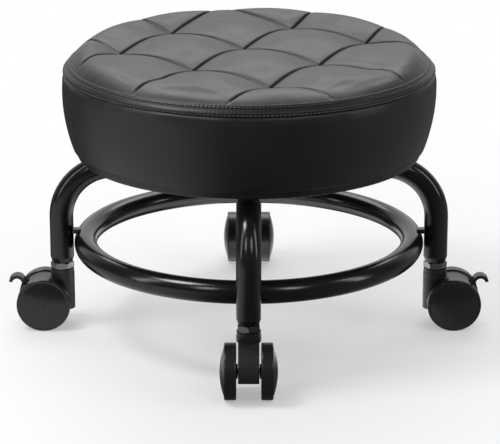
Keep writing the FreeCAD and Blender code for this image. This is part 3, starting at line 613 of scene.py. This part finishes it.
def side_outline():
    """Radius and height from the tuck under the top, over the band and side, to the tuck over the board.

    The side swells on one long parabola from the hem to the belly and comes in again on a shorter one to
    the lower seam. Every seam is a lip, a groove and another lip. The hem rolls in under the foam. Offsets
    of a millimetre or two set each arc beside its seam.
    """
    band_low = np.array([BELLY_RADIUS - 0.0009, LOW_SEAM_UP])
    band_high = np.array([SEAM_RADIUS, TOP_SEAM_UP])
    top_lip = arc_points(band_high + (-0.0012, -0.0004), LIP, 200.0, 20.0, 9)
    top_groove = arc_points(band_high + (0.0006, -0.0014), GROOVE_ROUND, 80.0, -60.0, 3)
    band = bowed(band_low + (-0.0004, 0.0013), band_high + (0.0005, -0.0017), -0.0005, 12)[::-1]
    low_groove = arc_points(band_low + (-GROOVE, 0.0), GROOVE_ROUND, 60.0, -60.0, 4)
    shoulder_middle = band_low + (-SHOULDER_ROUND, -0.0056)
    shoulder = arc_points(shoulder_middle, SHOULDER_ROUND, 64.0, 4.0, 9)
    down = np.linspace(0.0, 1.0, 26)[1:]
    start_up = shoulder[-1, 1]
    height = start_up + (HEM_UP + HEM_ROLL - start_up) * down
    high_side = (height - BELLY_UP) / (LOW_SEAM_UP - BELLY_UP)
    low_side = (BELLY_UP - height) / (BELLY_UP - HEM_UP)
    low_fall = BELLY_RADIUS - TUCK_RADIUS - 2.0 * HEM_ROLL
    fall = np.where(high_side > 0.0, BELLY_FALL * high_side ** 2, low_fall * low_side.clip(0.0) ** 2)
    side = np.column_stack([BELLY_RADIUS - fall, height])
    hem = arc_points((TUCK_RADIUS + HEM_ROLL, HEM_UP + HEM_ROLL), HEM_ROLL, -12.0, -180.0, 14)
    tuck = np.array([[TUCK_RADIUS, HEM_UP + 0.003], [TUCK_RADIUS, BOARD_TOP + 0.0002]])
    bottom = np.array([[0.0, BOARD_TOP + 0.0002]])
    ceiling = np.array([[0.0, TOP_SEAM_UP - 0.006], [SEAM_RADIUS - 0.006, TOP_SEAM_UP - 0.006]])
    return np.vstack([ceiling, top_lip, top_groove, band, low_groove, shoulder, side, hem, tuck, bottom])


print("points in the outline", len(side_outline()))


# %% Side surface
def around(outline, angles):
    """Turn an outline round the axis: radius times cosine and sine of the angle, height unchanged."""
    radius = outline[:, 0:1]
    x = radius * np.cos(angles)
    y = radius * np.sin(angles)
    return np.stack([x, y, np.broadcast_to(outline[:, 1:2], x.shape)], axis=-1)


def side_shell():
    """The turned outline, pulled in at the stitches and gently uneven where hands stretched the leather.

    The pull is a cosine with one wave a stitch, under a bell round each seam. The unevenness is a sum of
    slow sines round the seat, with finer folds under a bell just below the lower seam.
    """
    outline = side_outline()
    angles = np.linspace(0.0, 2.0 * np.pi, COLUMNS, endpoint=False)
    points = around(outline, angles)
    height = outline[:, 1:2]
    near_top = np.exp(-((height - TOP_SEAM_UP) / 0.0022) ** 2)
    near_low = np.exp(-((height - LOW_SEAM_UP) / 0.0030) ** 2)
    pulled = PUCKER * (near_top + near_low) * np.cos(STITCH_COUNT * angles)
    stretched = STRETCH * (np.sin(3.0 * angles + 0.8) + 0.7 * np.sin(7.0 * angles + 60.0 * height))
    under_seam = np.exp(-((height - LOW_SEAM_UP + 0.006) / 0.008) ** 2)
    folded = SIDE_FOLD * under_seam * np.sin(31.0 * angles + 2.0 * np.sin(5.0 * angles))
    outside = outline[:, 0:1] > BOARD_RADIUS + 0.0004
    between_seams = (height < TOP_SEAM_UP - 0.0030) & (height > HEM_UP + 0.002)
    uneven = (stretched + folded) * smooth_step((height - HEM_UP) / 0.02)
    outward = pulled + np.where(outside & between_seams, uneven, 0.0)
    off_axis = outline[:, 0:1] > 0.01
    outward = np.where(off_axis, outward, 0.0)
    points[..., 0] += outward * np.cos(angles)
    points[..., 1] += outward * np.sin(angles)
    return points


def closed_shell(shell):
    """Points, quads and the triangles that close both ends of a turned shell onto one point each."""
    rows = shell.shape[0] - 2
    rings = shell[1:-1].reshape(-1, 3)
    points = np.vstack([rings, shell[0, 0], shell[-1, 0]])
    column = np.arange(COLUMNS)
    ahead = (column + 1) % COLUMNS
    last_row = (rows - 1) * COLUMNS
    lid = np.column_stack([np.full(COLUMNS, len(rings)), column, ahead])
    base = np.column_stack([np.full(COLUMNS, len(rings) + 1), last_row + ahead, last_row + column])
    return points, grid_quads(rows, COLUMNS, True)[:, ::-1], np.vstack([lid, base])


side_points, side_quads, side_ends = closed_shell(side_shell())
seat_side = mesh_object("seat_side_and_edge", side_points, side_quads, leather, side_ends)

# %% [markdown]
# ## Stitching
#
# A sewing machine leaves a row of short thread bridges. Each is a small rounded bar of few faces. The bars
# could be instances, but all bars of one seam are simplest as a single mesh: the same corner points,
# turned and moved to each place by one array sum.

# %% Thread
THREAD_RADIUS = 0.00036
STITCH_LONG = 0.0027
STITCH_LEAN = 0.10


def make_thread():
    """Bonded nylon thread: black, with a silky shine. Its dark grey, well lighter than the leather, is
    partly the thread's tone and partly a painted glint on the stitches.
    """
    finish = Finish("thread", {"Sheen Weight": 0.2})
    twist = finish.noise(finish.place(), 2600.0, 2.0)
    # The grey from 0.055 to 0.11 is partly the thread's own tone and partly a painted glint on the
    # stitches.
    finish.feed("Base Color", finish.tint(twist, (0.055, 0.055, 0.056), (0.110, 0.110, 0.112)))
    finish.feed("Roughness", twist * 0.1 + 0.30)
    finish.bump(twist, 0.00005, 0.6)
    return finish.material


thread = make_thread()
print("made", thread.name)


# %% Rows of stitches
def stitch_rows(name, centres, along, up, finish, length=STITCH_LONG, radius=THREAD_RADIUS):
    """One mesh of rounded bars, one at each centre, pointing along.

    A bar's cross-sections are hexagons. Their size follows the root of 1 - u ** 4, with u from -1 to 1
    along the bar.
    """
    along = along / np.linalg.norm(along, axis=1)[:, None]
    across = np.cross(up, along)
    across /= np.linalg.norm(across, axis=1)[:, None]
    rise = np.cross(along, across)
    u = np.array([-1.0, -0.86, -0.4, 0.4, 0.86, 1.0])
    size = np.sqrt(np.clip(1.0 - u ** 4, 0.02, 1.0))
    turn = np.arange(6) * np.pi / 3.0
    bar = np.stack(np.broadcast_arrays(
        0.5 * length * u[:, None],
        radius * size[:, None] * np.cos(turn),
        radius * size[:, None] * np.sin(turn),
    ), axis=-1).reshape(-1, 3)
    axes = np.stack([along, across, rise], axis=1)
    points = (centres[:, None, :] + bar @ axes).reshape(-1, 3)
    caps = np.array([[0, 3, 2, 1], [0, 5, 4, 3], [30, 31, 32, 33], [30, 33, 34, 35]])
    faces = np.vstack([grid_quads(len(u), len(turn), True)[:, ::-1], caps])
    shift = (np.arange(len(centres)) * len(bar))[:, None, None]
    return mesh_object(name, points, (faces[None] + shift).reshape(-1, 4), finish)


def seam_ring(name, radius, height):
    """Stitches round the seat at one height, each tilted up a little along its length."""
    angles = (np.arange(STITCH_COUNT) + 0.5) * 2.0 * np.pi / STITCH_COUNT
    outward = np.column_stack([np.cos(angles), np.sin(angles), np.zeros(STITCH_COUNT)])
    centres = outward * radius + (0.0, 0.0, height)
    along = np.column_stack([-np.sin(angles), np.cos(angles), np.full(STITCH_COUNT, STITCH_LEAN)])
    return stitch_rows(name, centres, along, outward, thread)


top_stitches = seam_ring("stitches_top_seam", SEAM_RADIUS + 0.0004, TOP_SEAM_UP - 0.0012)
low_stitches = seam_ring("stitches_low_seam", BELLY_RADIUS - 0.0016, LOW_SEAM_UP - 0.0001)


# %% Stitches in the quilting creases
CREASE_STITCH_PITCH = 0.0038
CREASE_STITCH_LONG = 0.0026
CREASE_THREAD_RADIUS = 0.00026
CREASE_STITCHES_EACH_WAY = 110
RIM_MARGIN = 0.004
HALF_STEP = 0.0012


def quilt_stitches():
    """Stitches along both crease families, every 3.8 mm, wherever the crease is inside the rim.

    Each lies in the bottom of its crease and climbs with it: the height's change over a short step.
    """
    steps = np.arange(-CREASE_STITCHES_EACH_WAY, CREASE_STITCHES_EACH_WAY + 1) * CREASE_STITCH_PITCH
    middles, runs = [], []
    for family in (0, 1):
        run = quilt_axes[1 - family] / QUILT_PITCHES[1 - family]
        for line in range(QUILT_LINES):
            start = QUILT_START + line * quilt_axes[family]
            flat = start + steps[:, None] * run
            kept = flat[np.hypot(flat[:, 0], flat[:, 1]) < TOP_EDGE_RADIUS - RIM_MARGIN]
            middles.append(kept)
            runs.append(np.broadcast_to(run, kept.shape))
    flat = np.vstack(middles)
    run = np.vstack(runs)
    ahead, behind = flat + run * HALF_STEP, flat - run * HALF_STEP
    climb = quilt_height(ahead[:, 0], ahead[:, 1]) - quilt_height(behind[:, 0], behind[:, 1])
    centres = np.column_stack([flat, quilt_height(flat[:, 0], flat[:, 1])])
    along = np.column_stack([run, climb / (2.0 * HALF_STEP)])
    up = np.broadcast_to((0.0, 0.0, 1.0), along.shape)
    sizes = (CREASE_STITCH_LONG, CREASE_THREAD_RADIUS)
    return stitch_rows("stitches_quilting", centres, along, up, leather, *sizes)


crease_stitches = quilt_stitches()

# %% [markdown]
# ## The dust cloth
#
# A disc of spun-bonded cloth closes the seat's underside round the steel plate. It is stapled to the
# board near its edge, so it lies flat there and hangs down by a millimetre further in. It is a grid of
# rings, given its thickness by Solidify, and its staples are made as the stitches are.

# %% Dust cloth and staples
CLOTH_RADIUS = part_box("dust_cloth")[1].x
CLOTH_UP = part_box("dust_cloth")[1].z
CLOTH_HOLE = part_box("seat_plate")[1].x + 0.0005
CLOTH_SAG = 0.0011
CLOTH_COLUMNS = 288
CLOTH_ROWS = 14
STAPLES = 24
STAPLE_LONG = 0.010
STAPLE_RADIUS = 0.0005
STAPLE_INSET = 0.006


def dust_sheet():
    """A ring of cloth. Its sag is a half sine across the ring, times a cosine wave round the staples."""
    angles = np.linspace(0.0, 2.0 * np.pi, CLOTH_COLUMNS, endpoint=False)
    across = np.linspace(0.0, 1.0, CLOTH_ROWS)
    radius = CLOTH_HOLE + (CLOTH_RADIUS - CLOTH_HOLE) * across[:, None]
    sag = CLOTH_SAG * np.sin(np.pi * across[:, None]) * (1.0 + 0.35 * np.cos(STAPLES * angles))
    x = radius * np.cos(angles)
    y = radius * np.sin(angles)
    points = np.stack([x, y, CLOTH_UP - 0.0001 - sag], axis=-1).reshape(-1, 3)
    return points, grid_quads(CLOTH_ROWS, CLOTH_COLUMNS, True)


def staple_ring():
    """Wire staples lying round the cloth's edge, one to each wave of the sag."""
    angles = np.arange(STAPLES) * 2.0 * np.pi / STAPLES
    outward = np.column_stack([np.cos(angles), np.sin(angles), np.zeros(STAPLES)])
    along = np.column_stack([-np.sin(angles), np.cos(angles), np.zeros(STAPLES)])
    centres = outward * (CLOTH_RADIUS - STAPLE_INSET) + (0.0, 0.0, CLOTH_UP - 0.0010)
    down = np.broadcast_to((0.0, 0.0, -1.0), outward.shape)
    steel = finishes["zinc_steel"]
    return stitch_rows("dust_staples", centres, along, down, steel, STAPLE_LONG, STAPLE_RADIUS)


cloth_points, cloth_quads = dust_sheet()
dust_cloth = mesh_object("dust_sheet", cloth_points, cloth_quads[:, ::-1], finishes["dust_cloth"])
thicken = dust_cloth.modifiers.new("thickness", "SOLIDIFY")
thicken.thickness = 0.0004
thicken.offset = -1.0
staples = staple_ring()

# %% [markdown]
# ## Floor and light
#
# A pale floor carries the shadow and turns white further out. One wide soft lamp stands over and behind the
# stool and draws the grey sheen on the top. A small one draws the line on the edge band, and strips at the
# sides and the front draw the lines on the tubes. Black gloss shows mostly what it reflects, so a glowing
# ring just over the floor, seen by reflections alone, paints the reflections: dark in front, lighter at the
# left, the right and the back, and bright under the stool, where it paints the highlight on the hem and
# board edge.


# %% Floor
FLOOR_HALF = 6.0
WHITE_FROM, WHITE_TO = 0.20, 0.62
# Under the stool the floor still glows this share of white to the camera: painted light that lifts the
# shadow.
SHADOW_LIFT_GLOW = 0.38


def make_floor():
    """Pale paint that turns into plain white light, to the camera only, far from the stool; near it, a
    share of that white glow is painted over the shadow.
    """
    finish = Finish("floor_paint", {"Roughness": 0.6, "Specular IOR Level": 0.2})
    where = finish.place()
    oval = finish.place((1.0, 0.75, 1.0))
    apart = finish.node("ShaderNodeVectorMath", {"operation": "LENGTH"}, {0: oval}, "Value")
    grain = finish.noise(where, 40.0, 2.0)
    finish.feed("Base Color", finish.tint(grain, (0.70, 0.70, 0.70), (0.71, 0.71, 0.71)))
    sockets = {"Value": apart, "From Min": WHITE_FROM, "From Max": WHITE_TO, "To Min": SHADOW_LIFT_GLOW}
    far = finish.ease(sockets)
    ray = finish.node("ShaderNodeLightPath", output="Is Camera Ray")
    white = finish.node("ShaderNodeEmission", {}, {"Color": (1.0, 1.0, 1.0, 1.0), "Strength": 1.0})
    paint = Wire(finish.shader.outputs[0])
    finish.show(finish.node("ShaderNodeMixShader", {}, {0: far * ray, 1: paint, 2: white}))
    return finish.material


floor_corners = np.array([[-1.0, -1.0, 0.0], [1.0, -1.0, 0.0], [1.0, 1.0, 0.0], [-1.0, 1.0, 0.0]])
floor = mesh_object("floor", FLOOR_HALF * floor_corners, np.array([[0, 1, 2, 3]]), make_floor())


# %% Lamps
MIDDLE = (0.0, 0.0, 0.2)


def soft_lamp(name, where, target, size, watts):
    """A rectangular soft lamp at a place, turned to a target; size is its width and height."""
    data = bpy.data.lights.new(name, "AREA")
    data.shape = "RECTANGLE"
    data.size, data.size_y = size
    data.energy = watts
    lamp = bpy.data.objects.new(name, data)
    lamp.location = where
    lamp.rotation_euler = (Vector(target) - Vector(where)).to_track_quat("-Z", "Y").to_euler()
    scene.collection.objects.link(lamp)
    return lamp


lamps = [
    soft_lamp("lamp_overhead", (0.0, 1.5, 1.9), MIDDLE, (2.4, 1.2), 27.0),
    soft_lamp("lamp_left", (-1.8, -0.6, 1.0), MIDDLE, (0.3, 1.4), 6.0),
    soft_lamp("lamp_edge", (-0.80, -0.30, 1.50), (-0.09, -0.14, 0.25), (0.5, 0.5), 12.0),
    soft_lamp("lamp_right", (1.8, -0.5, 1.0), MIDDLE, (0.3, 1.4), 6.0),
    soft_lamp("lamp_front_left", (-0.9, -1.56, 1.46), MIDDLE, (0.35, 0.7), 5.0),
    soft_lamp("lamp_front_right", (0.9, -1.56, 1.46), MIDDLE, (0.35, 0.7), 5.0),
]
print(len(lamps), "lamps")

# %% World
# To the camera it is plain white. Reflections see it brighter behind the stool, and the rest is fill light.
FILL_LEVEL = 0.62
world = bpy.data.worlds.new("studio")
scene.world = world
world.use_nodes = True
tree = world.node_tree
backdrop = tree.nodes["Background"]
backdrop.inputs["Color"].default_value = (1.0, 1.0, 1.0, 1.0)
direction = add_node(tree, "ShaderNodeTexCoord", {}, {}, "Generated")
depth = add_node(tree, "ShaderNodeSeparateXYZ", {}, {0: direction}, "Y")
sockets = {"Value": depth, "From Min": 0.30, "From Max": 0.95, "To Min": 0.10, "To Max": 0.85}
behind = add_node(tree, "ShaderNodeMapRange", EASE, sockets, "Result")
camera_ray, glossy_ray, clear_ray = [
    add_node(tree, "ShaderNodeLightPath", {}, {}, ray)
    for ray in ("Is Camera Ray", "Is Glossy Ray", "Is Transmission Ray")
]
seen = camera_ray + clear_ray + glossy_ray * behind
fill = (1.0 - (camera_ray + clear_ray + glossy_ray)) * FILL_LEVEL
tree.links.new((seen + fill).socket, backdrop.inputs["Strength"])
print("world", world.name)


# %% Painted reflection ring
REFLECTION_RING_EDGES = (0.01, 5.0)
REFLECTION_RING_UP = 0.004
REFLECTION_RING_SIDES = 64
BRIGHTEST = 2.0


def make_painted_reflection():
    """Glow that only depends on the place on the ring, as a sum of four smooth patches: painted
    reflections.

    Left, right and back glow grow with the dot product of the direction from the stool and their own
    direction. The patch under the stool grows towards its middle and paints the highlight on the hem and
    board edge.
    """
    finish = Finish("painted_reflection_ring", {})
    flat = finish.place((1.0, 1.0, 0.0))
    facing = finish.node("ShaderNodeVectorMath", {"operation": "NORMALIZE"}, {0: flat}, "Vector")

    def towards(direction, limits):
        """Smooth glow on the side that faces this direction."""
        sockets = {0: facing, 1: direction}
        likeness = finish.node("ShaderNodeVectorMath", {"operation": "DOT_PRODUCT"}, sockets, "Value")
        return finish.ease({"Value": likeness, **limits})

    # Painted reflections: dark in front, so gloss facing the front looks shaded; lighter left, right and
    # back.
    left = towards((-0.906, -0.423, 0.0), {"From Min": 0.60, "To Min": 0.08, "To Max": 0.80})
    right = towards((0.995, 0.10, 0.0), {"From Min": 0.30, "To Max": 0.18})
    back = towards((0.0, 1.0, 0.0), {"From Min": 0.94, "To Max": 0.90})
    # A bright patch under the stool paints the highlight on the hem and the board's lower edge.
    sockets = {0: flat, 1: (0.06, 0.03, 0.0)}
    apart = finish.node("ShaderNodeVectorMath", {"operation": "DISTANCE"}, sockets, "Value")
    under = finish.ease({"Value": apart, "From Min": 0.16, "From Max": 0.05, "To Max": 1.2})
    share = (left + right + back + under) * (1.0 / BRIGHTEST)
    glow = finish.tint(share, (0.0, 0.0, 0.0), (BRIGHTEST, BRIGHTEST, BRIGHTEST))
    finish.show(finish.node("ShaderNodeEmission", {}, {"Color": glow}))
    return finish.material


def painted_reflection_ring():
    """A flat glowing ring just over the floor that only reflections see; it paints what black gloss
    reflects.
    """
    turn = np.linspace(0.0, 2.0 * np.pi, REFLECTION_RING_SIDES, endpoint=False)
    reach = np.array(REFLECTION_RING_EDGES)[:, None]
    up = np.full((2, REFLECTION_RING_SIDES), REFLECTION_RING_UP)
    points = np.stack([reach * np.cos(turn), reach * np.sin(turn), up], axis=-1).reshape(-1, 3)
    quads = grid_quads(2, REFLECTION_RING_SIDES, True)[:, ::-1]
    # The ring is a painted reflection: it glows, but only reflections see it.
    cloth = mesh_object("painted_reflection_ring", points, quads, make_painted_reflection())
    cloth.visible_camera = False
    cloth.visible_diffuse = False
    cloth.visible_transmission = False
    cloth.visible_shadow = False


painted_reflection_ring()

# %% [markdown]
# ## Tie every piece to the model
#
# Each new piece rides on a body, and the model's solids that the new pieces stand for are hidden. The seat
# doesn't turn, so all of them ride on the root body, as the legs and the ring do.

# %% Bodies, slots and replaced solids
new_pieces = {
    seat_top: "cover_leather",
    seat_side: "cover_leather",
    top_stitches: "cover_leather",
    low_stitches: "cover_leather",
    crease_stitches: "cover_leather",
    dust_cloth: "dust_cloth",
    staples: "zinc_steel",
}
for piece, slot in new_pieces.items():
    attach(piece, "root")
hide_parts("seat_top_cover", "seat_foam")
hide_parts("seat_side_cover", "seat_edge_band")
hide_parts("dust_cloth")
print(len(new_pieces), "new pieces ride on the root body")
